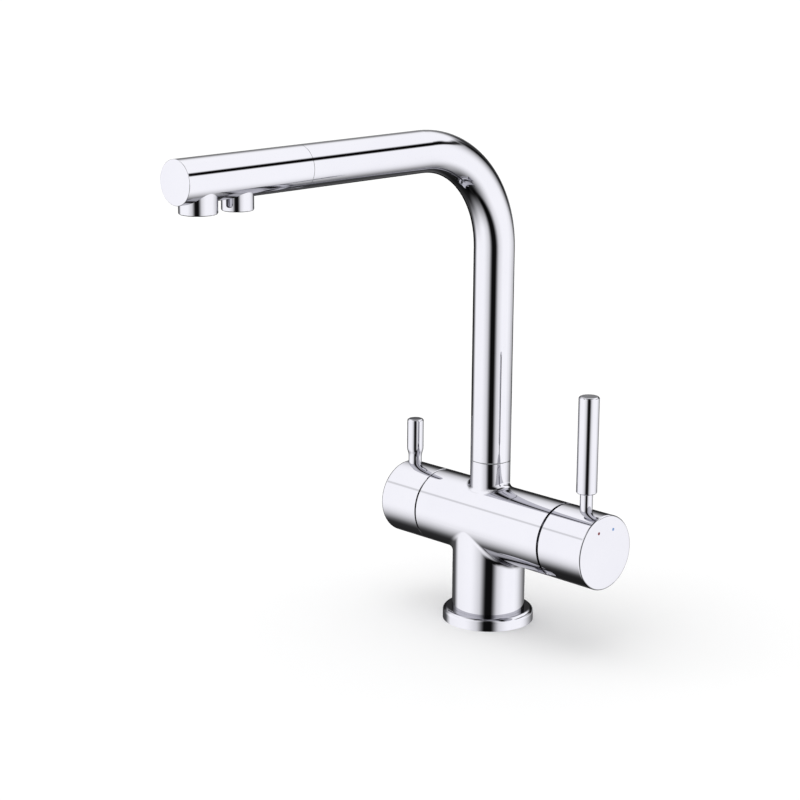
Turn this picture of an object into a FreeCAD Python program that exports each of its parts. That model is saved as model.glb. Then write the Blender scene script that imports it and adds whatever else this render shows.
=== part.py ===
import FreeCAD
import Part
import math
import os

# Three way filtered water tap. Millimetres, +Z up, origin on the worktop at the stem's axis.
# The spout points along -Y, the mixer handle is at +X and the filtered water knob at -X.

# Stem, barrel and collar
barrel_radius = 25.9
barrel_height = 72.4
barrel_left = 47.5
barrel_right = 67.6
stem_step = 0.4
stem_wall = 3.4
stem_cavity_height = 44.0
pocket_inset = 13.0
pocket_left = 14.0
pocket_right = 46.0
stem_fillet = 6.5
collar_fillet = 3.5
collar_top = 115.7
casting_break = 0.25

# Base
flange_radius = 31.9
flange_height = 8.5
flange_floor = 2.5
flange_round = 3.0
flange_fit = 0.08
gasket_inner = 23.6
gasket_width = 4.6
gasket_height = 1.2

# Inlets and fixing studs, all opening downwards
inlet_radius = 4.5
filter_inlet_radius = 3.5
inlet_depth = 12.0
inlet_x = 9.0
inlet_y = 7.5
filter_inlet_x = 11.0
stud_hole_radius = 3.4
stud_hole_depth = 14.0
stud_boss_radius = 6.0
stud_boss_wall = 0.9
stud_boss_bottom = 4.0

# Spout
tube_radius = 14.0
tube_wall = 1.5
bend_radius = 72.0
arm_height = 337.0
head_seam = 177.0
head_end = 276.0
head_gap = 0.3
head_edge = 0.4
glide_thickness = 0.6
glide_gap = 0.05

# Swivel
spigot_radius = 11.0
spigot_bore = 8.0
spigot_reach = 30.0
spigot_insert = 14.0
spigot_fit = 0.05
chamber_floor = 84.0
swivel_limit = 75.0
ring_section = 0.95
ring_heights = (92.0, 99.0)
screw_height = 108.0
screw_radius = 2.5
screw_tip_radius = 1.6
screw_tip_depth = 2.0
track_clearance = 0.5
key_depth = 1.6

# Filtered water pipe inside the spout
pipe_radius = 4.0
pipe_bore = 2.8
pipe_socket = 7.0
pipe_end_gap = 1.0

# Spout head and its two outlets
coupling_overlap = 12.0
coupling_wall = 2.6
head_bore_depth = 23.0
head_way_radius = 3.2
head_way_rise = 8.5
filter_way_radius = 2.5
seat_allowance = 0.1
mains_outlet_y = 258.5
mains_outlet_radius = 12.0
mains_outlet_drop = 6.4
mains_seat = 7.0
filter_outlet_y = 227.7
filter_outlet_radius = 10.1
filter_outlet_drop = 7.4
filter_seat = 9.0
outlet_wall = 3.0
outlet_thread = 4.0
outlet_lip = 1.4
outlet_lip_width = 1.0
outlet_break = 0.5
washer_height = 1.6
screen_pitch = 2.6
screen_hole = 1.0
key_notch_width = 2.6
key_notch_height = 2.0
key_notch_depth = 0.9
key_notch_turn = 45.0

# Mixer handle
mixer_gap = 0.8
cap_face = 107.0
cap_wall = 3.0
cap_rim_wall = 1.5
cap_rim_depth = 5.6
cap_rim_chamfer = 1.2
cap_face_round = 1.5
pivot_inset = 16.0
tilt_limit = 18.0
hub_radius = 8.0
hub_length = 9.6
lever_x = 88.9
lever_radius = 7.05
lever_neck_radius = 4.35
lever_grip_bottom = 110.3
lever_top = 177.0
lever_edge = 0.7
lever_round = 1.6
lever_boss_radius = 5.5
lever_boss_gap = 2.0
stud_radius = 3.0
thread_fit = 0.05
stud_in_lever = 9.0
mark_radius = 1.1
mark_depth = 0.6
mark_height = 15.0
mark_spacing = 14.5

# Mixer cartridge
cartridge_radius = 12.5
cartridge_wall = 1.3
cartridge_bottom = 52.0
cartridge_floor = 2.5
cartridge_shoulder = 71.0
cartridge_top = 88.0
cartridge_fit = 0.1
lug_rise = 1.3
lug_start = 57.0
lug_length = 3.0
neck_step = 1.0
rotor_step = 3.35
rotor_fit = 0.05
rotor_flange = 2.2
rotor_end = 88.3
slot_half_width = 3.3
slot_up = 7.9
slot_down = 5.2
drive_arm = 18.0
ball_radius = 2.7
ball_neck = 2.0
socket_radius = 3.1
spindle_half = 3.0
square_half = 3.5
spindle_fit = 0.05
pin_radius = 2.0
fixed_disc_height = 4.0
moving_disc_height = 3.5
carrier_height = 6.2
disc_radius = 7.2
disc_gap = 0.02
port_radius = 2.8
port_offset = 6.0
port_drop = 3.5
outlet_rise = 7.0
port_seal_height = 0.8
dish_depth = 7.0
dish_lip = 1.0
dish_floor_radius = 20.0
sleeve_wall = 2.7
sleeve_end = 66.0
nut_head_rise = 3.8
nut_head_height = 3.0
nut_wall = 1.2
handle_screw_radius = 2.5
handle_screw_x = 99.5
handle_screw_length = 5.0

# Filtered water knob
knob_gap = 0.9
knob_end = 83.2
knob_wall = 3.0
knob_round = 2.5
knob_rim_chamfer = 0.3
knob_lever_x = 74.5
knob_lever_radius = 5.9
knob_neck_radius = 4.75
knob_grip_bottom = 108.4
knob_taper = 3.8
knob_taper_round = 10.0
knob_lever_top = 130.8
knob_lever_round = 1.6
knob_stud_radius = 2.5
knob_stud_in_lever = 7.0
knob_hub_radius = 8.0
knob_hub_length = 14.0
knob_boss_radius = 5.6

# Quarter turn valve
valve_seat = 20.0
valve_radius = 9.5
valve_wall = 1.4
valve_window = 5.0
valve_hex_radius = 12.0
valve_hex_length = 6.5
valve_neck_radius = 7.4
valve_neck_end = 63.0
valve_shaft_radius = 5.0
valve_shaft_end = 79.6
valve_fit = 0.05
valve_seal_height = 3.0
valve_disc_height = 2.6
valve_chamber_radius = 11.2
valve_chamber = (31.0, 40.0)

X_AXIS = FreeCAD.Vector(1, 0, 0)
Y_AXIS = FreeCAD.Vector(0, 1, 0)
Z_AXIS = FreeCAD.Vector(0, 0, 1)
cut_over = 1.0

# Places that follow from the sizes above
stem_radius = barrel_radius - stem_step
stem_bore = stem_radius - stem_wall
tube_bore = tube_radius - tube_wall
tube_bottom = collar_top + glide_thickness + glide_gap
cap_rim = barrel_right + mixer_gap
pivot_x = cap_rim + pivot_inset
cap_bore = barrel_radius - cap_wall
lug_radius = cartridge_radius + lug_rise
neck_radius = cartridge_radius - neck_step
rotor_radius = cartridge_radius - rotor_step
sleeve_radius = lug_radius + sleeve_wall
nut_head_radius = lug_radius + nut_head_rise
lever_boss_bottom = neck_radius + lever_boss_gap
knob_rim = barrel_left + knob_gap
knob_bore = barrel_radius - knob_wall


def at(x, y, z):
    return FreeCAD.Vector(x, y, z)


def on_barrel(x):
    return at(x, 0, barrel_height)


def on_arm(reach):
    return at(0, -reach, arm_height)


def rod(origin, axis, radius, length):
    return Part.makeCylinder(radius, length, origin, axis)


def block(low, high):
    size = high - low
    return Part.makeBox(size.x, size.y, size.z, low)


def turned(profile, origin, axis):
    # profile holds (radius, distance along the axis) corners of half a section
    corners = [at(radius, 0, along) for radius, along in profile]
    face = Part.Face(Part.makePolygon(corners + corners[:1]))
    solid = face.revolve(at(0, 0, 0), Z_AXIS, 360)
    solid.Placement = FreeCAD.Placement(origin, FreeCAD.Rotation(Z_AXIS, axis))
    return solid


def pipe(origin, axis, outer, inner, length):
    return turned([(inner, 0), (outer, 0), (outer, length), (inner, length)], origin, axis)


def prism(origin, axis, sides, corner_radius, length):
    turn = 2 * math.pi / sides
    corners = []
    for corner in range(sides):
        angle = corner * turn
        corners.append(at(corner_radius * math.cos(angle), corner_radius * math.sin(angle), 0))
    solid = Part.Face(Part.makePolygon(corners + corners[:1])).extrude(at(0, 0, length))
    solid.Placement = FreeCAD.Placement(origin, FreeCAD.Rotation(Z_AXIS, axis))
    return solid


def joined(shapes):
    whole = shapes[0].fuse(shapes[1:]) if len(shapes) > 1 else shapes[0]
    return whole.removeSplitter()


def edges_where(shape, test):
    return [edge for edge in shape.Edges if test(edge)]


def circle_at(edge, radius, plane, value):
    # true for a round edge of this radius that lies in the plane x, y or z = value
    if not isinstance(edge.Curve, Part.Circle):
        return False
    centre = getattr(edge.Curve.Center, plane)
    return abs(edge.Curve.Radius - radius) < 0.01 and abs(centre - value) < 0.01


def save(name, shape):
    solids = shape.Solids
    group = solids[0] if len(solids) == 1 else Part.makeCompound(solids)
    group.exportStep("parts/" + name + ".step")
    print(name, len(solids), "solids", round(group.Volume / 1000, 2), "cm3")


def swept_tube(outer, inner, low, end_y):
    # straight riser, quarter bend and level arm, as one hollow tube
    bend_height = arm_height - bend_radius
    riser = pipe(at(0, 0, low), Z_AXIS, outer, inner, bend_height - low)
    ring = Part.Face([Part.Wire(Part.makeCircle(outer)), Part.Wire(Part.makeCircle(inner))])
    ring.translate(at(0, 0, bend_height))
    bend = ring.revolve(at(0, -bend_radius, bend_height), X_AXIS, 90)
    arm = pipe(on_arm(bend_radius), -Y_AXIS, outer, inner, end_y - bend_radius)
    return joined([riser, bend, arm])


def body_casting():
    barrel = rod(on_barrel(-barrel_left), X_AXIS, barrel_radius, barrel_left + barrel_right)
    stem = rod(at(0, 0, flange_floor), Z_AXIS, stem_radius, barrel_height - flange_floor)
    outside = joined([barrel, stem])
    crossing = edges_where(outside, lambda e: not isinstance(e.Curve, (Part.Circle, Part.Line)))
    outside = outside.makeFillet(stem_fillet, crossing)
    collar = rod(on_barrel(0), Z_AXIS, tube_radius, collar_top - barrel_height)
    outside = joined([outside, collar])
    top_of_barrel = barrel_height + barrel_radius / 2
    foot = edges_where(
        outside,
        lambda e: not isinstance(e.Curve, (Part.Circle, Part.Line)) and e.BoundBox.ZMin > top_of_barrel,
    )
    outside = outside.makeFillet(collar_fillet, foot)
    rims = edges_where(outside, lambda e: circle_at(e, tube_radius, "z", collar_top))
    rims += edges_where(outside, lambda e: circle_at(e, barrel_radius, "x", -barrel_left))
    outside = outside.makeChamfer(casting_break, rims)

    # hollow stem with two bosses for the fixing studs
    cavity = rod(at(0, 0, 0), Z_AXIS, stem_bore, stem_cavity_height)
    for y in stud_places():
        boss = rod(at(0, y, stud_boss_bottom), Z_AXIS, stud_boss_radius, stem_cavity_height)
        cavity = cavity.cut(boss)
    cuts = [cavity] + core_pockets()
    for y in stud_places():
        stud_mouth = at(0, y, stud_boss_bottom - cut_over)
        cuts.append(rod(stud_mouth, Z_AXIS, stud_hole_radius, stud_hole_depth + cut_over))

    # mixer end: dish for the tilting cap, sleeve, cartridge bore and nut thread
    dish_floor = barrel_right - dish_depth
    lip_radius = barrel_radius - dish_lip
    cone = (lip_radius - dish_floor_radius) / dish_depth
    dish = turned(
        [
            (sleeve_radius, 0),
            (dish_floor_radius, 0),
            (lip_radius, dish_depth),
            (lip_radius + cone * cut_over, dish_depth + cut_over),
            (sleeve_radius, dish_depth + cut_over),
        ],
        on_barrel(dish_floor),
        X_AXIS,
    )
    sleeve_cut = rod(on_barrel(sleeve_end), X_AXIS, sleeve_radius + cut_over, dish_depth)
    bore_floor = cartridge_bottom - port_seal_height
    bore = rod(on_barrel(bore_floor), X_AXIS, cartridge_radius + cartridge_fit, barrel_right)
    thread = rod(on_barrel(lug_start), X_AXIS, lug_radius + cartridge_fit, barrel_right)
    cuts += [dish, sleeve_cut, bore, thread]

    # filtered water end: valve bore with its outlet chamber
    cuts.append(rod(on_barrel(-valve_seat), -X_AXIS, valve_radius, barrel_left))
    chamber_length = valve_chamber[1] - valve_chamber[0]
    cuts.append(rod(on_barrel(-valve_chamber[0]), -X_AXIS, valve_chamber_radius, chamber_length))

    # swivel chamber and the socket of the filtered water pipe
    cuts.append(rod(at(0, 0, chamber_floor), Z_AXIS, spigot_radius, arm_height))
    cuts.append(rod(at(0, 0, chamber_floor - pipe_socket), Z_AXIS, pipe_radius + spigot_fit, arm_height))
    cuts.append(rod(at(0, 0, screw_height), Y_AXIS, screw_radius + thread_fit, tube_radius + cut_over))

    # waterways
    port_height = barrel_height - port_drop
    for y_side in (-1, 1):
        inlet = at(inlet_x, y_side * inlet_y, stem_cavity_height - cut_over)
        cuts.append(rod(inlet, Z_AXIS, inlet_radius, inlet_depth + cut_over))
        cuts.append(rod(inlet, Z_AXIS, port_radius, port_height + port_radius - inlet.z))
        feed = at(inlet_x, y_side * port_offset, port_height)
        cuts.append(rod(feed, X_AXIS, port_radius, bore_floor - inlet_x + cut_over))
    mixed_height = barrel_height + outlet_rise
    mixed_x = (spigot_radius + pipe_radius + spigot_fit) / 2 + cut_over / 4
    cuts.append(rod(at(mixed_x, 0, mixed_height), X_AXIS, port_radius, bore_floor - mixed_x + cut_over))
    mixed_rise = chamber_floor - mixed_height + cut_over
    cuts.append(rod(at(mixed_x, 0, mixed_height), Z_AXIS, filter_way_radius, mixed_rise))
    filter_inlet = at(-filter_inlet_x, 0, stem_cavity_height - cut_over)
    cuts.append(rod(filter_inlet, Z_AXIS, filter_inlet_radius, inlet_depth + cut_over))
    cuts.append(rod(filter_inlet, Z_AXIS, filter_way_radius, barrel_height - filter_inlet.z))
    valve_feed = valve_seat - filter_inlet_x + cut_over
    cuts.append(rod(on_barrel(-filter_inlet_x), -X_AXIS, filter_way_radius, valve_feed))
    filter_rise = chamber_floor - pipe_socket / 2
    chamber_middle = sum(valve_chamber) / 2
    cuts.append(rod(at(-chamber_middle, 0, filter_rise), X_AXIS, filter_way_radius, chamber_middle))
    return outside.cut(cuts)


def core_pockets():
    # two side pockets of the casting, in front of and behind the waterways, open to the stem
    pockets = []
    for side in (-1, 1):
        near = side * pocket_inset
        far = side * barrel_radius
        length = pocket_left + pocket_right
        hollow = rod(on_barrel(-pocket_left), X_AXIS, barrel_radius - stem_wall, length)
        rise = barrel_height - stem_cavity_height
        shaft = rod(at(0, 0, stem_cavity_height - cut_over), Z_AXIS, stem_bore, rise)
        keep = block(
            at(-barrel_right, min(near, far), 0),
            at(barrel_right, max(near, far), 2 * barrel_height),
        )
        pockets.append(hollow.fuse(shaft).common(keep))
    return pockets


def stud_places():
    boss_y = stem_bore + stud_boss_wall - stud_boss_radius
    return (-boss_y, boss_y)


def base_flange():
    hole = stem_radius + flange_fit
    ring = turned(
        [
            (stem_bore, 0),
            (flange_radius, 0),
            (flange_radius, flange_height),
            (hole, flange_height),
            (hole, flange_floor),
            (stem_bore, flange_floor),
        ],
        at(0, 0, 0),
        Z_AXIS,
    )
    top_edge = edges_where(ring, lambda e: circle_at(e, flange_radius, "z", flange_height))
    ring = ring.makeFillet(flange_round, top_edge)
    gasket_outer = gasket_inner + gasket_width
    groove = pipe(at(0, 0, -cut_over), Z_AXIS, gasket_outer, gasket_inner, gasket_height + cut_over)
    return ring.cut(groove)


def base_gasket():
    return pipe(at(0, 0, 0), Z_AXIS, gasket_inner + gasket_width, gasket_inner, gasket_height)


def glide_ring():
    outer = tube_radius - casting_break
    return pipe(at(0, 0, collar_top), Z_AXIS, outer, spigot_radius + spigot_fit, glide_thickness)


def swivel_spigot():
    low = collar_top - spigot_reach
    inner_ring = spigot_radius - 2 * (ring_section + spigot_fit)
    body = turned(
        [
            (spigot_bore, low),
            (spigot_radius - spigot_fit, low),
            (spigot_radius - spigot_fit, tube_bottom),
            (tube_bore - spigot_fit, tube_bottom),
            (tube_bore - spigot_fit, tube_bottom + spigot_insert),
            (spigot_bore, tube_bottom + spigot_insert),
        ],
        at(0, 0, 0),
        Z_AXIS,
    )
    for height in ring_heights:
        half = ring_section + spigot_fit
        start = at(0, 0, height - half)
        body = body.cut(pipe(start, Z_AXIS, spigot_radius + cut_over, inner_ring, 2 * half))
    return body.cut(swivel_track())


def swivel_track():
    # slot round the back of the spigot, as long as the spout may turn
    half_height = screw_tip_radius + track_clearance
    floor_radius = spigot_radius - screw_tip_depth - track_clearance
    ends = math.degrees((screw_tip_radius + track_clearance) / floor_radius)
    sweep = 2 * (swivel_limit + ends)
    section = Part.Face(Part.makePolygon([
        at(floor_radius, 0, screw_height - half_height),
        at(spigot_radius + cut_over, 0, screw_height - half_height),
        at(spigot_radius + cut_over, 0, screw_height + half_height),
        at(floor_radius, 0, screw_height + half_height),
        at(floor_radius, 0, screw_height - half_height),
    ]))
    section.rotate(at(0, 0, 0), Z_AXIS, 90 - sweep / 2)
    return section.revolve(at(0, 0, 0), Z_AXIS, sweep)


def swivel_rings():
    ring_middle = spigot_radius - spigot_fit - ring_section
    rings = [Part.makeTorus(ring_middle, ring_section, at(0, 0, z)) for z in ring_heights]
    return Part.makeCompound(rings)


def swivel_screw():
    tip = spigot_radius - screw_tip_depth
    seat = spigot_radius + cut_over / 2
    outside = tube_radius - cut_over / 2
    screw = turned(
        [
            (0, tip),
            (screw_tip_radius, tip),
            (screw_tip_radius, seat),
            (screw_radius, seat),
            (screw_radius, outside),
            (0, outside),
        ],
        at(0, 0, screw_height),
        Y_AXIS,
    )
    key_start = at(0, outside - key_depth, screw_height)
    return screw.cut(prism(key_start, Y_AXIS, 6, screw_radius / 2, key_depth + cut_over))


def filter_water_pipe():
    low = chamber_floor - pipe_socket + pipe_end_gap
    end = head_seam + head_bore_depth + pipe_socket - pipe_end_gap
    return swept_tube(pipe_radius, pipe_bore, low, end)


def head_coupling():
    start = head_seam - coupling_overlap
    outer = tube_bore - spigot_fit
    length = coupling_overlap + head_bore_depth - cut_over
    sleeve = pipe(on_arm(start), -Y_AXIS, outer, outer - coupling_wall, length)
    groove_start = at(0, ring_section - head_seam - head_bore_depth / 2, arm_height)
    groove = pipe(groove_start, -Y_AXIS, outer + cut_over, outer - 2 * ring_section, 2 * ring_section)
    return sleeve.cut(groove)


def head_seal():
    outer = tube_bore - spigot_fit
    groove_y = head_seam + head_bore_depth / 2
    return Part.makeTorus(outer - ring_section, ring_section - spigot_fit, on_arm(groove_y), Y_AXIS)


def spout_head():
    start = head_seam + head_gap
    head = rod(on_arm(start), -Y_AXIS, tube_radius, head_end - start)
    end_rim = edges_where(head, lambda e: circle_at(e, tube_radius, "y", -head_end))
    head = head.makeFillet(head_edge, end_rim)
    partition = head_seam + head_bore_depth
    cuts = [rod(on_arm(start - cut_over), -Y_AXIS, tube_bore, partition - start + cut_over)]
    cuts.append(rod(on_arm(partition), -Y_AXIS, pipe_radius + spigot_fit, pipe_socket))
    cuts.append(rod(on_arm(partition), -Y_AXIS, filter_way_radius, filter_outlet_y - partition))
    cuts.append(rod(on_arm(filter_outlet_y), -Z_AXIS, filter_way_radius, filter_seat + cut_over))
    rise = arm_height + head_way_rise
    way_length = mains_outlet_y - partition + cut_over
    cuts.append(rod(at(0, -partition + cut_over, rise), -Y_AXIS, head_way_radius, way_length))
    cuts.append(rod(at(0, -mains_outlet_y, rise), -Z_AXIS, head_way_radius, head_way_rise + mains_seat))
    for outlet_y, radius, seat in outlets():
        floor = arm_height - seat
        thread = radius - outlet_wall + outlet_lip_width + thread_fit
        cuts.append(rod(at(0, -outlet_y, floor), -Z_AXIS, radius + seat_allowance, tube_radius))
        top = at(0, -outlet_y, floor + outlet_thread + thread_fit)
        cuts.append(rod(top, -Z_AXIS, thread, outlet_thread + cut_over))
    return head.cut(cuts)


def outlets():
    mains = (mains_outlet_y, mains_outlet_radius, mains_seat)
    filtered = (filter_outlet_y, filter_outlet_radius, filter_seat)
    return mains, filtered


def outlet_housing(outlet_y, radius, seat, drop):
    low = -tube_radius - drop
    bore = radius - outlet_wall
    thread = bore + outlet_lip_width
    housing = turned(
        [
            (bore - outlet_lip_width, low),
            (radius - outlet_break, low),
            (radius, low + outlet_break),
            (radius, -seat - thread_fit),
            (thread, -seat - thread_fit),
            (thread, -seat + outlet_thread),
            (bore, -seat + outlet_thread),
            (bore, low + outlet_lip),
            (bore - outlet_lip_width, low + outlet_lip),
        ],
        on_arm(outlet_y),
        Z_AXIS,
    )
    # two notches for a key, low on opposite sides
    for turn in (key_notch_turn, key_notch_turn + 180):
        notch = block(
            at(radius - key_notch_depth, -key_notch_width / 2, low - cut_over),
            at(radius + cut_over, key_notch_width / 2, low + key_notch_height),
        )
        notch.rotate(at(0, 0, 0), Z_AXIS, turn)
        notch.translate(on_arm(outlet_y))
        housing = housing.cut(notch)
    return housing


def outlet_insert(outlet_y, radius, seat, drop):
    low = arm_height - tube_radius - drop + outlet_lip
    high = arm_height - seat + outlet_thread - washer_height - cut_over
    body_radius = radius - outlet_wall - thread_fit
    insert = rod(at(0, -outlet_y, low), Z_AXIS, body_radius, high - low)
    field = body_radius - outlet_lip_width - screen_hole
    reach = int(body_radius / screen_pitch) + 1
    holes = []
    for row in range(-reach, reach + 1):
        for column in range(-reach, reach + 1):
            x = (column + (row % 2) / 2) * screen_pitch
            y = row * screen_pitch * math.sqrt(3) / 2
            if math.hypot(x, y) < field:
                start = at(x, y - outlet_y, low - cut_over)
                holes.append(rod(start, Z_AXIS, screen_hole, high - low + 2 * cut_over))
    return insert.cut(holes)


def outlet_washer(outlet_y, radius, seat):
    low = arm_height - seat + outlet_thread - washer_height - cut_over
    bore = radius - outlet_wall
    return pipe(at(0, -outlet_y, low), Z_AXIS, bore - thread_fit, bore - outlet_wall, washer_height)


def mixer_housing():
    top = cartridge_top - cartridge_bottom
    shoulder = cartridge_shoulder - cartridge_bottom
    lug = lug_start - cartridge_bottom
    inner = cartridge_radius - cartridge_wall
    neck_bore = rotor_radius + rotor_fit
    shell = turned(
        [
            (0, 0),
            (cartridge_radius, 0),
            (cartridge_radius, lug),
            (lug_radius, lug),
            (lug_radius, lug + lug_length),
            (cartridge_radius, lug + lug_length),
            (cartridge_radius, shoulder + rotor_flange),
            (neck_radius, shoulder + rotor_flange),
            (neck_radius, top),
            (neck_bore, top),
            (neck_bore, shoulder),
            (inner, shoulder),
            (inner, cartridge_floor),
            (0, cartridge_floor),
        ],
        on_barrel(cartridge_bottom),
        X_AXIS,
    )
    return shell.cut(mixer_ports(cartridge_bottom - cut_over, cartridge_floor + 2 * cut_over))


def mixer_ports(start, length):
    low = barrel_height - port_drop
    places = [(-port_offset, low), (port_offset, low), (0, barrel_height + outlet_rise)]
    return [rod(at(start, y, z), X_AXIS, port_radius, length) for y, z in places]


def mixer_port_seal():
    start = cartridge_bottom - port_seal_height
    seal = rod(on_barrel(start), X_AXIS, cartridge_radius, port_seal_height)
    return seal.cut(mixer_ports(start - cut_over, port_seal_height + 2 * cut_over))


def mixer_fixed_disc():
    start = cartridge_bottom + cartridge_floor
    radius = cartridge_radius - cartridge_wall - rotor_fit
    disc = rod(on_barrel(start), X_AXIS, radius, fixed_disc_height)
    return disc.cut(mixer_ports(start - cut_over, fixed_disc_height + 2 * cut_over))


def disc_travel():
    return drive_arm * math.radians(tilt_limit)


def moving_start():
    return cartridge_bottom + cartridge_floor + fixed_disc_height + disc_gap


def mixer_moving_disc():
    middle = barrel_height - disc_travel() / 2
    disc = rod(at(moving_start(), 0, middle), X_AXIS, disc_radius, moving_disc_height)
    pocket_start = at(moving_start() - cut_over, 0, middle)
    pocket = rod(pocket_start, X_AXIS, port_radius, moving_disc_height / 2 + cut_over)
    return disc.cut(pocket)


def mixer_carrier():
    start = moving_start() + moving_disc_height
    middle = barrel_height - disc_travel() / 2
    carrier = rod(at(start, 0, middle), X_AXIS, disc_radius, carrier_height)
    socket = rod(on_barrel(start + cut_over), X_AXIS, socket_radius, carrier_height)
    return carrier.cut(socket)


def mixer_rotor():
    flange_start = cartridge_shoulder - rotor_flange - rotor_fit
    rotor = turned(
        [
            (0, flange_start),
            (cartridge_radius - cartridge_wall - 2 * rotor_fit, flange_start),
            (cartridge_radius - cartridge_wall - 2 * rotor_fit, flange_start + rotor_flange),
            (rotor_radius, flange_start + rotor_flange),
            (rotor_radius, rotor_end),
            (0, rotor_end),
        ],
        on_barrel(0),
        X_AXIS,
    )
    slot = block(
        at(flange_start - cut_over, -slot_half_width, barrel_height - slot_down),
        at(rotor_end + cut_over, slot_half_width, barrel_height + slot_up),
    )
    pin_start = at(pivot_x, -cartridge_radius, barrel_height)
    pin_hole = rod(pin_start, Y_AXIS, pin_radius + spindle_fit / 2, 2 * cartridge_radius)
    return rotor.cut([slot, pin_hole])


def mixer_pivot_pin():
    half = rotor_radius - 5 * rotor_fit
    return rod(at(pivot_x, -half, barrel_height), Y_AXIS, pin_radius, 2 * half)


def mixer_spindle():
    neck_start = pivot_x - drive_arm
    bar_start = neck_start + 2 * ball_radius
    square_start = cap_face - cap_wall - hub_length - cut_over
    square_end = cap_face - cap_wall - cut_over / 2
    ball = Part.makeSphere(ball_radius, on_barrel(neck_start))
    neck = rod(on_barrel(neck_start), X_AXIS, ball_neck, 2 * ball_radius)
    bar = block(
        at(bar_start, -spindle_half, barrel_height - spindle_half),
        at(square_start, spindle_half, barrel_height + spindle_half),
    )
    square = block(
        at(square_start, -square_half, barrel_height - square_half),
        at(square_end, square_half, barrel_height + square_half),
    )
    pin_start = at(pivot_x, -cartridge_radius, barrel_height)
    pin_hole = rod(pin_start, Y_AXIS, pin_radius + spindle_fit, 2 * cartridge_radius)
    return joined([ball, neck, bar, square]).cut(pin_hole)


def mixer_nut():
    start = lug_start + lug_length
    bore = lug_radius - nut_wall
    thread = pipe(on_barrel(start), X_AXIS, lug_radius, bore, sleeve_end - start + cut_over / 2)
    head = prism(on_barrel(sleeve_end), X_AXIS, 6, nut_head_radius, nut_head_height)
    head = head.cut(rod(on_barrel(sleeve_end - cut_over), X_AXIS, bore, nut_head_height + 2 * cut_over))
    return joined([thread, head])


def mixer_cap():
    rim_end = cap_rim + cap_rim_depth
    inside = cap_face - cap_wall
    cap = turned(
        [
            (barrel_radius - cap_rim_wall, cap_rim),
            (barrel_radius - cap_rim_chamfer / 2, cap_rim),
            (barrel_radius, cap_rim + cap_rim_chamfer),
            (barrel_radius, cap_face),
            (0, cap_face),
            (0, inside),
            (cap_bore, inside),
            (cap_bore, rim_end),
            (barrel_radius - cap_rim_wall, rim_end),
        ],
        on_barrel(0),
        X_AXIS,
    )
    face_rim = edges_where(cap, lambda e: circle_at(e, barrel_radius, "x", cap_face))
    cap = cap.makeFillet(cap_face_round, face_rim)
    hub = rod(on_barrel(inside - hub_length), X_AXIS, hub_radius, hub_length + cut_over)
    boss_length = cap_bore - lever_boss_bottom + cut_over
    boss = rod(at(lever_x, 0, barrel_height + lever_boss_bottom), Z_AXIS, lever_boss_radius, boss_length)
    cap = joined([cap, hub, boss])
    square_hole = square_half + spindle_fit
    hollow = block(
        at(inside - hub_length - cut_over, -square_hole, barrel_height - square_hole),
        at(inside - spindle_fit, square_hole, barrel_height + square_hole),
    )
    lever_hole = rod(on_barrel(lever_x), Z_AXIS, stud_radius + thread_fit, 2 * barrel_radius)
    screw_bore = handle_screw_radius + thread_fit
    screw_hole = rod(on_barrel(handle_screw_x), -Z_AXIS, screw_bore, 2 * barrel_radius)
    cuts = [hollow, lever_hole, screw_hole]
    for y in mark_places():
        mark_floor = at(cap_face - mark_depth, y, barrel_height + mark_height)
        cuts.append(rod(mark_floor, X_AXIS, mark_radius, mark_depth + cut_over))
    return cap.cut(cuts)


def mark_places():
    return (-mark_spacing / 2, mark_spacing / 2)


def colour_mark(y):
    floor = at(cap_face - mark_depth, y, barrel_height + mark_height)
    return rod(floor, X_AXIS, mark_radius, mark_depth)


def handle_screw():
    top = square_half + spindle_fit
    start = at(handle_screw_x, 0, barrel_height - top)
    screw = rod(start, -Z_AXIS, handle_screw_radius, handle_screw_length)
    key_start = start - Z_AXIS * (handle_screw_length - key_depth)
    key = prism(key_start, -Z_AXIS, 6, handle_screw_radius / 2, key_depth + cut_over)
    return screw.cut(key)


def mixer_lever():
    low = barrel_height + cap_bore
    lever = turned(
        [
            (0, low),
            (lever_neck_radius, low),
            (lever_neck_radius, lever_grip_bottom - lever_edge / 2),
            (lever_radius - lever_edge, lever_grip_bottom),
            (lever_radius, lever_grip_bottom + lever_edge),
            (lever_radius, lever_top),
            (0, lever_top),
        ],
        at(lever_x, 0, 0),
        Z_AXIS,
    )
    top_edge = edges_where(lever, lambda e: circle_at(e, lever_radius, "z", lever_top))
    lever = lever.makeFillet(lever_round, top_edge)
    cap_side = rod(on_barrel(lever_x - barrel_radius), X_AXIS, barrel_radius, 2 * barrel_radius)
    hole_length = barrel_radius + stud_in_lever + cut_over
    stud_hole = rod(on_barrel(lever_x), Z_AXIS, stud_radius + thread_fit, hole_length)
    return lever.cut([cap_side, stud_hole])


def mixer_lever_stud():
    low = barrel_height + lever_boss_bottom
    length = barrel_radius + stud_in_lever - lever_boss_bottom
    return rod(at(lever_x, 0, low), Z_AXIS, stud_radius, length)


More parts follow.
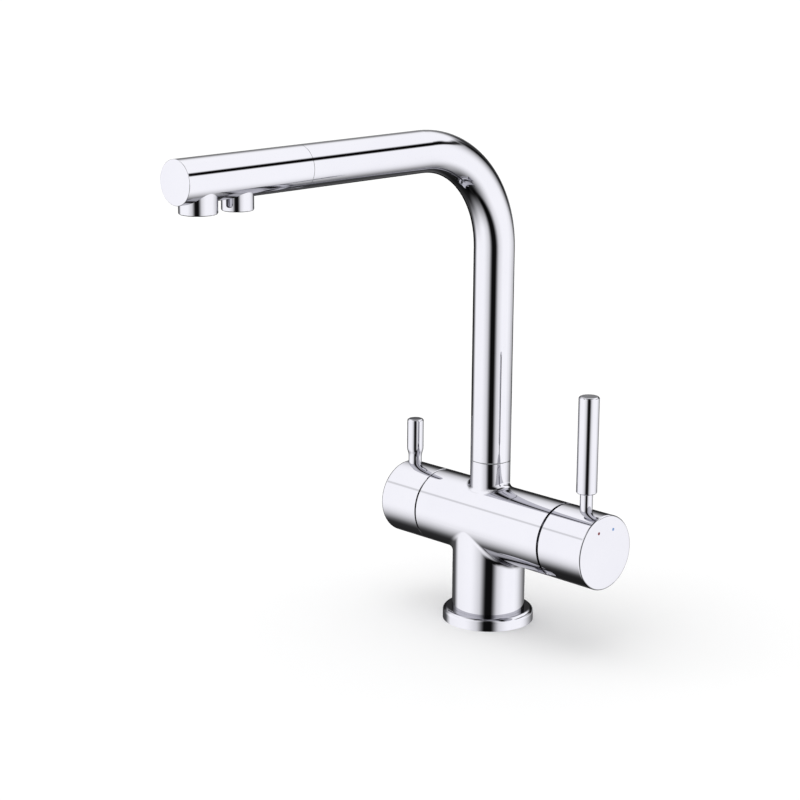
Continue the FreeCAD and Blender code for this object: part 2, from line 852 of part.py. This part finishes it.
def filter_knob():
    inside = knob_end - knob_wall
    knob = turned(
        [
            (knob_bore, knob_rim),
            (barrel_radius - knob_rim_chamfer, knob_rim),
            (barrel_radius, knob_rim + knob_rim_chamfer),
            (barrel_radius, knob_end),
            (0, knob_end),
            (0, inside),
            (knob_bore, inside),
        ],
        on_barrel(0),
        -X_AXIS,
    )
    end_rim = edges_where(knob, lambda e: circle_at(e, barrel_radius, "x", -knob_end))
    knob = knob.makeFillet(knob_round, end_rim)
    hub = rod(on_barrel(-inside - cut_over), X_AXIS, knob_hub_radius, knob_hub_length + cut_over)
    boss = rod(on_barrel(-knob_lever_x), Z_AXIS, knob_boss_radius, knob_bore + cut_over)
    knob = joined([knob, hub, boss])
    shaft_end = on_barrel(-valve_shaft_end - valve_fit)
    shaft_hole = rod(shaft_end, X_AXIS, valve_shaft_radius + valve_fit, knob_end)
    stud_hole = rod(on_barrel(-knob_lever_x), Z_AXIS, knob_stud_radius + thread_fit, 2 * barrel_radius)
    return knob.cut([shaft_hole, stud_hole])


def filter_lever():
    low = barrel_height + knob_bore
    lever = turned(
        [
            (0, low),
            (knob_neck_radius, low),
            (knob_neck_radius, knob_grip_bottom - knob_taper),
            (knob_lever_radius, knob_grip_bottom),
            (knob_lever_radius, knob_lever_top),
            (0, knob_lever_top),
        ],
        at(-knob_lever_x, 0, 0),
        Z_AXIS,
    )
    top_edge = edges_where(lever, lambda e: circle_at(e, knob_lever_radius, "z", knob_lever_top))
    lever = lever.makeFillet(knob_lever_round, top_edge)
    taper_start = knob_grip_bottom - knob_taper
    taper_edges = edges_where(lever, lambda e: circle_at(e, knob_neck_radius, "z", taper_start))
    taper_edges += edges_where(lever, lambda e: circle_at(e, knob_lever_radius, "z", knob_grip_bottom))
    lever = lever.makeFillet(knob_taper_round, taper_edges)
    knob_side = rod(on_barrel(-knob_lever_x - barrel_radius), X_AXIS, barrel_radius, 2 * barrel_radius)
    hole_length = barrel_radius + knob_stud_in_lever + cut_over
    stud_hole = rod(on_barrel(-knob_lever_x), Z_AXIS, knob_stud_radius + thread_fit, hole_length)
    return lever.cut([knob_side, stud_hole])


def filter_lever_stud():
    low = barrel_height + valve_shaft_radius + valve_fit
    high = barrel_height + barrel_radius + knob_stud_in_lever
    return rod(at(-knob_lever_x, 0, low), Z_AXIS, knob_stud_radius, high - low)


def valve_disc_start():
    return valve_seat + valve_seal_height


def filter_valve_body():
    outer = valve_radius - valve_fit
    inner = outer - valve_wall
    shaft_bore = valve_shaft_radius + valve_fit
    step = barrel_left - valve_hex_length
    body = turned(
        [
            (inner, valve_disc_start()),
            (outer, valve_disc_start()),
            (outer, barrel_left),
            (valve_neck_radius, barrel_left),
            (valve_neck_radius, valve_neck_end),
            (shaft_bore, valve_neck_end),
            (shaft_bore, step),
            (inner, step),
        ],
        on_barrel(0),
        -X_AXIS,
    )
    hexagon = prism(on_barrel(-barrel_left), -X_AXIS, 6, valve_hex_radius, valve_hex_length)
    hexagon = hexagon.cut(rod(on_barrel(-barrel_left + cut_over), -X_AXIS, shaft_bore, valve_neck_end))
    body = joined([body, hexagon])
    middle = sum(valve_chamber) / 2
    windows = []
    for axis in (Y_AXIS, Z_AXIS):
        low = on_barrel(-middle) - axis * valve_chamber_radius
        windows.append(rod(low, axis, valve_window / 2, 2 * valve_chamber_radius))
    return body.cut(windows)


def filter_valve_spindle():
    inner = valve_radius - valve_fit - valve_wall - valve_fit
    disc_end = valve_disc_start() + 2 * valve_disc_height + disc_gap
    stop = barrel_left - valve_hex_length - valve_fit
    return turned(
        [
            (0, disc_end),
            (inner, disc_end),
            (inner, disc_end + valve_wall),
            (valve_shaft_radius, disc_end + valve_wall),
            (valve_shaft_radius, stop - valve_wall),
            (inner, stop - valve_wall),
            (inner, stop),
            (valve_shaft_radius, stop),
            (valve_shaft_radius, valve_shaft_end),
            (0, valve_shaft_end),
        ],
        on_barrel(0),
        -X_AXIS,
    )


def filter_disc(start, lift):
    # ceramic disc with two opposite openings
    radius = valve_radius - valve_fit - valve_wall - lift
    disc = rod(on_barrel(-start), -X_AXIS, radius, valve_disc_height)
    openings = []
    for side in (-1, 1):
        centre = at(-start + cut_over, side * valve_radius / 2, barrel_height)
        openings.append(rod(centre, -X_AXIS, port_radius / 2, valve_disc_height + 2 * cut_over))
    return disc.cut(openings)


def filter_valve_seal():
    outer = valve_radius - valve_fit
    return pipe(on_barrel(-valve_seat), -X_AXIS, outer, valve_radius / 2, valve_seal_height)


def build():
    os.makedirs("parts", exist_ok=True)
    save("body_casting", body_casting())
    save("base_flange", base_flange())
    save("base_gasket", base_gasket())
    save("glide_ring", glide_ring())
    save("swivel_screw", swivel_screw())

    save("spout_tube", swept_tube(tube_radius, tube_bore, tube_bottom, head_seam))
    save("swivel_spigot", swivel_spigot())
    save("swivel_rings", swivel_rings())
    save("filter_water_pipe", filter_water_pipe())
    save("head_coupling", head_coupling())
    save("head_seal", head_seal())
    save("spout_head", spout_head())

    drops = (mains_outlet_drop, filter_outlet_drop)
    for name, (outlet_y, radius, seat), drop in zip(("mains", "filter"), outlets(), drops):
        save(name + "_outlet_housing", outlet_housing(outlet_y, radius, seat, drop))
        save(name + "_outlet_insert", outlet_insert(outlet_y, radius, seat, drop))
        save(name + "_outlet_washer", outlet_washer(outlet_y, radius, seat))

    save("mixer_housing", mixer_housing())
    save("mixer_port_seal", mixer_port_seal())
    save("mixer_fixed_disc", mixer_fixed_disc())
    save("mixer_moving_disc", mixer_moving_disc())
    save("mixer_carrier", mixer_carrier())
    save("mixer_rotor", mixer_rotor())
    save("mixer_pivot_pin", mixer_pivot_pin())
    save("mixer_spindle", mixer_spindle())
    save("mixer_nut", mixer_nut())
    save("mixer_cap", mixer_cap())
    save("mixer_lever", mixer_lever())
    save("mixer_lever_stud", mixer_lever_stud())
    save("handle_screw", handle_screw())
    for name, y in zip(("hot_mark", "cold_mark"), mark_places()):
        save(name, colour_mark(y))

    save("filter_knob", filter_knob())
    save("filter_lever", filter_lever())
    save("filter_lever_stud", filter_lever_stud())
    save("filter_valve_body", filter_valve_body())
    save("filter_valve_spindle", filter_valve_spindle())
    save("filter_valve_seal", filter_valve_seal())
    save("filter_fixed_disc", filter_disc(valve_disc_start(), valve_fit / 2))
    save("filter_moving_disc", filter_disc(valve_disc_start() + valve_disc_height + disc_gap, valve_fit))


build()
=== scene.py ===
import bpy
import math
from mathutils import Matrix, Vector

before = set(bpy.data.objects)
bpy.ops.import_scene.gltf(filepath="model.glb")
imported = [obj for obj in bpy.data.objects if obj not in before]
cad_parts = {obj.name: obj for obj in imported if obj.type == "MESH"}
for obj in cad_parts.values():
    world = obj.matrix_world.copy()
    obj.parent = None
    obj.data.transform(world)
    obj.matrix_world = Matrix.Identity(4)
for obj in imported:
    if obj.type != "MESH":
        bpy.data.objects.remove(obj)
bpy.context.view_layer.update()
print("frame loaded:", len(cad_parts), "nodes")


# node building

def addNode(tree, kind, **settings):
    node = tree.nodes.new(kind)
    for name, value in settings.items():
        setattr(node, name, value)
    return node


def feed(tree, socket, value):
    # a number or colour is typed in, anything else is a socket to link
    if isinstance(value, bpy.types.NodeSocket):
        tree.links.new(value, socket)
    else:
        socket.default_value = value


def maths(tree, operation, *values):
    node = addNode(tree, "ShaderNodeMath", operation=operation)
    for socket, value in zip(node.inputs, values):
        feed(tree, socket, value)
    return node.outputs[0]


def remap(tree, value, low, high, toLow=0.0, toHigh=1.0):
    node = addNode(tree, "ShaderNodeMapRange", interpolation_type="SMOOTHSTEP")
    for socket, number in zip(node.inputs, (value, low, high, toLow, toHigh)):
        feed(tree, socket, number)
    return node.outputs[0]


def noiseOf(tree, vector, scale, detail=2.0, roughness=0.5):
    node = addNode(tree, "ShaderNodeTexNoise")
    feed(tree, node.inputs["Vector"], vector)
    feed(tree, node.inputs["Scale"], scale)
    feed(tree, node.inputs["Detail"], detail)
    feed(tree, node.inputs["Roughness"], roughness)
    return node.outputs["Fac"]


def objectPlace(tree):
    return addNode(tree, "ShaderNodeTexCoord").outputs["Object"]


def newGroup(name, inputs, outputs):
    group = bpy.data.node_groups.new(name, "ShaderNodeTree")
    for label, kind, value in inputs:
        socket = group.interface.new_socket(label, in_out="INPUT", socket_type=kind)
        if value is not None:
            socket.default_value = value
    for label, kind in outputs:
        group.interface.new_socket(label, in_out="OUTPUT", socket_type=kind)
    start = addNode(group, "NodeGroupInput")
    end = addNode(group, "NodeGroupOutput")
    return group, start.outputs, end.inputs


def useGroup(tree, group, **values):
    node = addNode(tree, "ShaderNodeGroup", node_tree=group)
    for label, value in values.items():
        feed(tree, node.inputs[label], value)
    return node.outputs


# shared effects

wipeMarkValues = {
    "stretch": (1.0, 1.0, 0.35), "turn": (0.5, 0.3, 0.0),
    "filmScale": 38.0, "filmDetail": 4.0, "filmRoughness": 0.6, "filmFrom": 0.45, "filmTo": 0.75,
    "grainScale": 900.0, "grainDetail": 2.0, "grainRoughness": 0.5, "grainFrom": 0.35, "grainTo": 0.75,
}
mottleValues = {"detail": 5.0, "roughness": 0.6, "from": 0.3, "to": 0.7}


def makeWipeMarks(values):
    # faint films that a cloth leaves on polished metal, as a mask and a fine height
    group, given, made = newGroup(
        "wipeMarks",
        [
            ("Place", "NodeSocketVector", None),
            ("Film", "NodeSocketFloat", 0.5), ("Grain", "NodeSocketFloat", 0.5),
        ],
        [("Mask", "NodeSocketFloat"), ("Height", "NodeSocketFloat")],
    )
    stretched = addNode(group, "ShaderNodeMapping")
    stretched.inputs["Scale"].default_value = values["stretch"]
    stretched.inputs["Rotation"].default_value = values["turn"]
    feed(group, stretched.inputs["Vector"], given["Place"])
    film = noiseOf(
        group, stretched.outputs[0], values["filmScale"], values["filmDetail"], values["filmRoughness"])
    grain = noiseOf(
        group, given["Place"], values["grainScale"], values["grainDetail"], values["grainRoughness"])
    filmSpread = remap(group, film, values["filmFrom"], values["filmTo"])
    grainSpread = remap(group, grain, values["grainFrom"], values["grainTo"])
    filmMask = maths(group, "MULTIPLY", filmSpread, given["Film"])
    grainMask = maths(group, "MULTIPLY", grainSpread, given["Grain"])
    feed(group, made["Mask"], maths(group, "ADD", filmMask, grainMask))
    feed(group, made["Height"], grain)
    return group


def makeMottle(values):
    # slow change of shade over a surface
    group, given, made = newGroup(
        "mottle",
        [
            ("Place", "NodeSocketVector", None), ("Scale", "NodeSocketFloat", 60.0),
            ("Light", "NodeSocketColor", (1, 1, 1, 1)), ("Dark", "NodeSocketColor", (0.9, 0.9, 0.9, 1)),
        ],
        [("Color", "NodeSocketColor")],
    )
    patches = noiseOf(group, given["Place"], given["Scale"], values["detail"], values["roughness"])
    spread = remap(group, patches, values["from"], values["to"])
    mix = addNode(group, "ShaderNodeMix", data_type="RGBA")
    feed(group, mix.inputs["Factor"], spread)
    feed(group, mix.inputs[6], given["Light"])
    feed(group, mix.inputs[7], given["Dark"])
    feed(group, made["Color"], mix.outputs[2])
    return group


wipeMarks = makeWipeMarks(wipeMarkValues)
mottle = makeMottle(mottleValues)
print("shared effects made")


# finishes

finishValues = {
    "polished_chrome": {"light": (0.905, 0.902, 0.965, 1), "dark": (0.885, 0.882, 0.95, 1), "scale": 22.0,
                        "metallic": 1.0, "rough": 0.03, "film": 0.02, "grain": 0.01, "bump": 0.004},
    "plain_brass": {"light": (0.83, 0.63, 0.32, 1), "dark": (0.66, 0.46, 0.2, 1), "scale": 90.0,
                    "metallic": 1.0, "rough": 0.24, "film": 0.12, "grain": 0.1, "bump": 0.05},
    "stainless_steel": {"light": (0.72, 0.71, 0.7, 1), "dark": (0.6, 0.59, 0.58, 1), "scale": 120.0,
                        "metallic": 1.0, "rough": 0.22, "film": 0.1, "grain": 0.12, "bump": 0.05},
    "black_rubber": {"light": (0.03, 0.03, 0.031, 1), "dark": (0.016, 0.016, 0.017, 1), "scale": 160.0,
                     "metallic": 0.0, "rough": 0.55, "film": 0.2, "grain": 0.15, "bump": 0.15},
    "white_plastic": {"light": (0.84, 0.84, 0.83, 1), "dark": (0.77, 0.77, 0.75, 1), "scale": 70.0,
                      "metallic": 0.0, "rough": 0.34, "film": 0.1, "grain": 0.12, "bump": 0.08},
    "grey_plastic": {"light": (0.3, 0.31, 0.32, 1), "dark": (0.22, 0.23, 0.24, 1), "scale": 80.0,
                     "metallic": 0.0, "rough": 0.38, "film": 0.1, "grain": 0.15, "bump": 0.1},
    "ceramic": {"light": (0.88, 0.87, 0.84, 1), "dark": (0.82, 0.81, 0.78, 1), "scale": 140.0,
                "metallic": 0.0, "rough": 0.16, "film": 0.06, "grain": 0.06, "bump": 0.02},
    "red_enamel": {"light": (0.26, 0.02, 0.03, 1), "dark": (0.18, 0.012, 0.02, 1), "scale": 400.0,
                   "metallic": 0.0, "rough": 0.18, "film": 0.08, "grain": 0.05, "bump": 0.03},
    "blue_enamel": {"light": (0.26, 0.42, 0.72, 1), "dark": (0.18, 0.32, 0.6, 1), "scale": 400.0,
                    "metallic": 0.0, "rough": 0.18, "film": 0.08, "grain": 0.05, "bump": 0.03},
}


bumpDistance = 0.0002  # metres


def makeFinish(name, values):
    material = bpy.data.materials.new(name)
    material.use_nodes = True
    tree = material.node_tree
    shader = tree.nodes["Principled BSDF"]
    place = objectPlace(tree)
    shade = useGroup(
        tree, mottle, Place=place, Scale=values["scale"], Light=values["light"], Dark=values["dark"])
    marks = useGroup(tree, wipeMarks, Place=place, Film=values["film"], Grain=values["grain"])
    feed(tree, shader.inputs["Base Color"], shade["Color"])
    shader.inputs["Metallic"].default_value = values["metallic"]
    feed(tree, shader.inputs["Roughness"], maths(tree, "ADD", values["rough"], marks["Mask"]))
    bump = addNode(tree, "ShaderNodeBump")
    bump.inputs["Strength"].default_value = values["bump"]
    bump.inputs["Distance"].default_value = bumpDistance
    feed(tree, bump.inputs["Height"], marks["Height"])
    feed(tree, shader.inputs["Normal"], bump.outputs["Normal"])
    return material


finishes = {name: makeFinish(name, values) for name, values in finishValues.items()}
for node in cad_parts.values():
    for slot in node.material_slots:
        slot.material = finishes[slot.material.name.split(".")[0]]
print("finishes made:", len(finishes))


# studio

studioValues = {
    "backdrop": 1.0, "room": 0.8, "bounceKept": 0.58,
    "floorColour": (0.97, 0.97, 0.97, 1), "floorRadius": 30.0, "floorCorners": 96,
    "sunStrength": 1.0, "sunSoftness": 90.0, "sunAzimuth": -35.0, "sunElevation": 60.0,
}

# what the polished metal sees around it: dark gaps in white surroundings, in degrees
# most of these values are the rounded result of a least squares fit to the photographed reflections;
# upperRail to railFoot, the zenith and farStand's depth were set one by one
darkGaps = {
    "cameraGap": {"azimuth": 43.0, "halfWidth": 8.0, "sideSoftness": 22.0,
                  "elevation": -7.0, "halfHeight": 56.0, "endSoftness": 30.0, "depth": 0.99},
    "cameraHaze": {"azimuth": 41.0, "halfWidth": 0.0, "sideSoftness": 60.0,
                   "elevation": 0.0, "halfHeight": 75.0, "endSoftness": 50.0, "depth": 0.55},
    "benchBelow": {"azimuth": 0.0, "halfWidth": 180.0, "sideSoftness": 1.0,
                   "elevation": -90.0, "halfHeight": 10.0, "endSoftness": 48.0, "depth": 0.99},
    "leftWall": {"azimuth": -113.0, "halfWidth": 35.0, "sideSoftness": 58.0,
                 "elevation": -63.0, "halfHeight": 6.0, "endSoftness": 45.0, "depth": 0.96},
    "leftStand": {"azimuth": -107.0, "halfWidth": 14.0, "sideSoftness": 28.0,
                  "elevation": -15.0, "halfHeight": 23.0, "endSoftness": 40.0, "depth": 0.9},
    "farStand": {"azimuth": -125.0, "halfWidth": 24.0, "sideSoftness": 36.0,
                 "elevation": 5.0, "halfHeight": 14.0, "endSoftness": 22.0, "depth": 0.15},
    "backWall": {"azimuth": -165.0, "halfWidth": 7.0, "sideSoftness": 48.0,
                 "elevation": 10.0, "halfHeight": 9.0, "endSoftness": 14.0, "depth": 0.96},
    "backFloor": {"azimuth": -154.0, "halfWidth": 9.0, "sideSoftness": 64.0,
                  "elevation": -33.0, "halfHeight": 16.0, "endSoftness": 13.0, "depth": 0.82},
    "upperRail": {"azimuth": 141.0, "halfWidth": 12.0, "sideSoftness": 12.0,
                  "elevation": 29.5, "halfHeight": 3.0, "endSoftness": 5.0, "depth": 1.0},
    "railBend": {"azimuth": 163.0, "halfWidth": 8.0, "sideSoftness": 12.0,
                 "elevation": 27.0, "halfHeight": 1.0, "endSoftness": 4.5, "depth": 0.97},
    "railTurn": {"azimuth": -177.0, "halfWidth": 2.0, "sideSoftness": 10.0,
                 "elevation": 19.0, "halfHeight": 5.0, "endSoftness": 7.0, "depth": 0.9},
    "railFoot": {"azimuth": -175.0, "halfWidth": 2.0, "sideSoftness": 8.0,
                 "elevation": 4.0, "halfHeight": 8.0, "endSoftness": 8.0, "depth": 0.8},
    "thinRail": {"azimuth": -57.0, "halfWidth": 10.0, "sideSoftness": 12.0,
                 "elevation": 31.0, "halfHeight": 0.6, "endSoftness": 2.4, "depth": 0.3},
    "zenith": {"azimuth": 0.0, "halfWidth": 180.0, "sideSoftness": 1.0,
               "elevation": 90.0, "halfHeight": 14.0, "endSoftness": 26.0, "depth": 0.97},
}


def makeGapMask():
    # a soft edged patch of the surroundings, by azimuth and elevation
    group, given, made = newGroup(
        "gapMask",
        [(label, "NodeSocketFloat", 0.0) for label in (
            "Azimuth", "Elevation", "Centre", "HalfWidth",
            "SideSoftness", "Height", "HalfHeight", "EndSoftness")],
        [("Mask", "NodeSocketFloat")],
    )
    turn = maths(group, "WRAP", maths(group, "SUBTRACT", given["Azimuth"], given["Centre"]), 180.0, -180.0)
    across = maths(group, "SUBTRACT", maths(group, "ABSOLUTE", turn), given["HalfWidth"])
    climb = maths(group, "ABSOLUTE", maths(group, "SUBTRACT", given["Elevation"], given["Height"]))
    along = maths(group, "SUBTRACT", climb, given["HalfHeight"])
    side = remap(group, across, 0.0, given["SideSoftness"], 1.0, 0.0)
    end = remap(group, along, 0.0, given["EndSoftness"], 1.0, 0.0)
    feed(group, made["Mask"], maths(group, "MULTIPLY", side, end))
    return group


def buildWorld(values, gaps):
    world = bpy.data.worlds.new("studio")
    bpy.context.scene.world = world
    world.use_nodes = True
    tree = world.node_tree
    tree.nodes.clear()
    direction = addNode(tree, "ShaderNodeSeparateXYZ")
    feed(tree, direction.inputs[0], addNode(tree, "ShaderNodeTexCoord").outputs["Generated"])
    x, y, z = direction.outputs
    ahead = maths(tree, "MULTIPLY", y, -1.0)
    azimuth = maths(tree, "DEGREES", maths(tree, "ARCTAN2", x, ahead))
    elevation = maths(tree, "DEGREES", maths(tree, "ARCSINE", z))
    gapMask = makeGapMask()
    level = values["backdrop"]
    for gap in gaps.values():
        mask = useGroup(
            tree, gapMask, Azimuth=azimuth, Elevation=elevation, Centre=gap["azimuth"],
            HalfWidth=gap["halfWidth"], SideSoftness=gap["sideSoftness"],
            Height=gap["elevation"], HalfHeight=gap["halfHeight"],
            EndSoftness=gap["endSoftness"],
        )["Mask"]
        passed = maths(tree, "SUBTRACT", 1.0, maths(tree, "MULTIPLY", mask, gap["depth"]))
        level = maths(tree, "MULTIPLY", level, passed)
    ray = addNode(tree, "ShaderNodeLightPath").outputs
    # stands in for the light that chrome takes away at each further bounce
    extraBounces = maths(tree, "MAXIMUM", maths(tree, "SUBTRACT", ray["Glossy Depth"], 1.0), 0.0)
    level = maths(tree, "MULTIPLY", level, maths(tree, "POWER", values["bounceKept"], extraBounces))
    mirrored = maths(tree, "MAXIMUM", ray["Is Glossy Ray"], ray["Is Transmission Ray"])
    seen = addNode(tree, "ShaderNodeMix", data_type="FLOAT")
    feed(tree, seen.inputs[0], mirrored)
    feed(tree, seen.inputs[2], values["room"])
    feed(tree, seen.inputs[3], level)
    shown = addNode(tree, "ShaderNodeMix", data_type="FLOAT")
    feed(tree, shown.inputs[0], ray["Is Camera Ray"])
    feed(tree, shown.inputs[2], seen.outputs[0])
    feed(tree, shown.inputs[3], values["backdrop"])
    background = addNode(tree, "ShaderNodeBackground")
    background.inputs["Color"].default_value = (1, 1, 1, 1)
    feed(tree, background.inputs["Strength"], shown.outputs[0])
    output = addNode(tree, "ShaderNodeOutputWorld")
    feed(tree, output.inputs["Surface"], background.outputs[0])


def buildFloor(values):
    bpy.ops.object.select_all(action="DESELECT")
    bpy.ops.mesh.primitive_circle_add(
        vertices=values["floorCorners"], radius=values["floorRadius"], fill_type="NGON")
    floor = bpy.context.object
    floor.name = "floor"
    material = bpy.data.materials.new("floorPaper")
    material.use_nodes = True
    shader = material.node_tree.nodes["Principled BSDF"]
    shader.inputs["Base Color"].default_value = values["floorColour"]
    shader.inputs["Roughness"].default_value = 1.0
    shader.inputs["Specular IOR Level"].default_value = 0.0
    floor.data.materials.append(material)
    floor.visible_glossy = False


def buildSun(values):
    light = bpy.data.lights.new("softKey", "SUN")
    light.energy = values["sunStrength"]
    light.angle = math.radians(values["sunSoftness"])
    sun = bpy.data.objects.new("softKey", light)
    bpy.context.scene.collection.objects.link(sun)
    azimuth, elevation = math.radians(values["sunAzimuth"]), math.radians(values["sunElevation"])
    towards = Vector((math.sin(azimuth) * math.cos(elevation), -math.cos(azimuth) * math.cos(elevation),
                      math.sin(elevation)))
    sun.rotation_euler = towards.to_track_quat("Z", "Y").to_euler()
    sun.visible_glossy = False


# a dark card behind the tap that only the polished metal sees, deep at the worktop and fading upwards
cardValues = {
    "azimuth": -134.0, "away": 0.5, "width": 0.9, "height": 0.5, "sideFade": 0.16,
    "darkUpTo": 0.17, "clearFrom": 0.34, "depth": 0.9,
}


def buildCard(values):
    bpy.ops.object.select_all(action="DESELECT")
    bpy.ops.mesh.primitive_plane_add(size=1.0)
    card = bpy.context.object
    card.name = "darkCard"
    bpy.ops.transform.resize(value=(values["width"], values["height"], 1.0))
    bpy.ops.object.transform_apply(location=False, rotation=False, scale=True)
    azimuth = math.radians(values["azimuth"])
    away = values["away"]
    card.location = (away * math.sin(azimuth), -away * math.cos(azimuth), values["height"] / 2)
    card.rotation_euler = (math.radians(90.0), 0.0, azimuth)
    material = bpy.data.materials.new("darkCard")
    material.use_nodes = True
    tree = material.node_tree
    tree.nodes.clear()
    place = addNode(tree, "ShaderNodeSeparateXYZ")
    feed(tree, place.inputs[0], objectPlace(tree))
    half, middle = values["width"] / 2, values["height"] / 2
    side = remap(tree, maths(tree, "ABSOLUTE", place.outputs["X"]), half - values["sideFade"], half, 1.0, 0.0)
    top = remap(tree, place.outputs["Y"], values["darkUpTo"] - middle, values["clearFrom"] - middle, 1.0, 0.0)
    black = addNode(tree, "ShaderNodeEmission")
    black.inputs["Strength"].default_value = 0.0
    clear = addNode(tree, "ShaderNodeBsdfTransparent")
    mix = addNode(tree, "ShaderNodeMixShader")
    cover = maths(tree, "MULTIPLY", maths(tree, "MULTIPLY", side, top), values["depth"])
    feed(tree, mix.inputs[0], cover)
    feed(tree, mix.inputs[1], clear.outputs[0])
    feed(tree, mix.inputs[2], black.outputs[0])
    feed(tree, addNode(tree, "ShaderNodeOutputMaterial").inputs["Surface"], mix.outputs[0])
    card.data.materials.append(material)
    card.visible_camera = False
    card.visible_diffuse = False
    card.visible_shadow = False


buildWorld(studioValues, darkGaps)
buildCard(cardValues)
buildFloor(studioValues)
buildSun(studioValues)
print("studio built")


# camera

cameraValues = {
    "azimuth": 45.668, "elevation": 14.011, "roll": 0.44, "distance": 1.57995,
    "targetRight": -0.06334, "targetHeight": 0.15763, "lens": 102.754, "sensor": 36.0,
}


def buildCamera(values):
    azimuth, elevation = math.radians(values["azimuth"]), math.radians(values["elevation"])
    roll = math.radians(values["roll"])
    back = Vector((math.sin(azimuth) * math.cos(elevation), -math.cos(azimuth) * math.cos(elevation),
                   math.sin(elevation)))
    right = Vector((math.cos(azimuth), math.sin(azimuth), 0))
    up = back.cross(right)
    target = Vector((0, 0, values["targetHeight"])) + right * values["targetRight"]
    turnedRight = right * math.cos(roll) + up * math.sin(roll)
    turnedUp = up * math.cos(roll) - right * math.sin(roll)
    data = bpy.data.cameras.new("camera")
    data.lens = values["lens"]
    data.sensor_width = values["sensor"]
    camera = bpy.data.objects.new("camera", data)
    bpy.context.scene.collection.objects.link(camera)
    turn = Matrix((turnedRight, turnedUp, back)).transposed()
    camera.matrix_world = Matrix.Translation(target + back * values["distance"]) @ turn.to_4x4()
    bpy.context.scene.camera = camera


buildCamera(cameraValues)
bpy.context.scene.view_settings.view_transform = "Standard"
print("camera placed")
